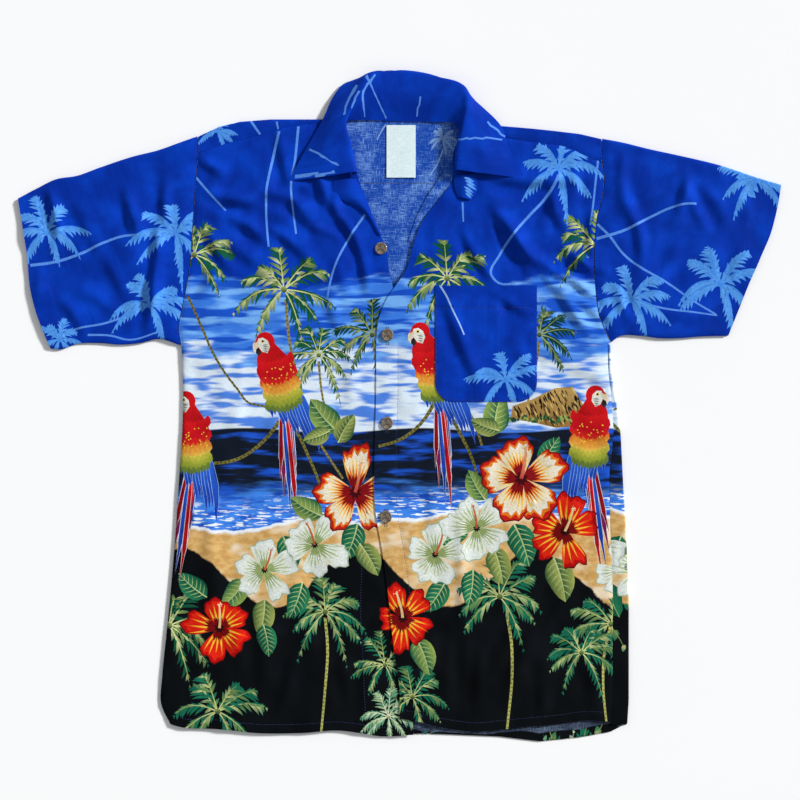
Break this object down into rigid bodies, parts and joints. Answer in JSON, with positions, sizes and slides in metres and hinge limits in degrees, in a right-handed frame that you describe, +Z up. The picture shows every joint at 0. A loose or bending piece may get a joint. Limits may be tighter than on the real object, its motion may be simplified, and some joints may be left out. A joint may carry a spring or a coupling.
{
  "type": "hawaiian shirt",
  "caption": "Short-sleeved camp shirt with an open collar, a patch pocket and a part-buttoned front, laid flat on its back.",
  "frame": {"origin": "centre of the overall box, on the surface that the shirt lies on", "axes": "+X towards the wearer's left side, +Y from hem to collar, +Z up from the surface"},
  "size_m": [0.945, 0.8289, 0.0199],
  "materials": {
    "printed_cloth": "soft plain-weave rayon with a tropical print",
    "label_tape": "smooth woven tape",
    "coconut_button": "polished coconut shell"
  },
  "bodies": {
    "root": {"back": "printed_cloth", "yoke": "printed_cloth", "front_right": "printed_cloth", "front_left": "printed_cloth", "sleeve_right": "printed_cloth", "sleeve_left": "printed_cloth", "collar": "printed_cloth", "lapel_right": "printed_cloth", "lapel_left": "printed_cloth", "facing_left": "printed_cloth", "pocket": "printed_cloth", "neck_label": "label_tape", "button_1": "coconut_button", "button_2": "coconut_button", "button_3": "coconut_button", "button_4": "coconut_button"}
  },
  "joints": []
}
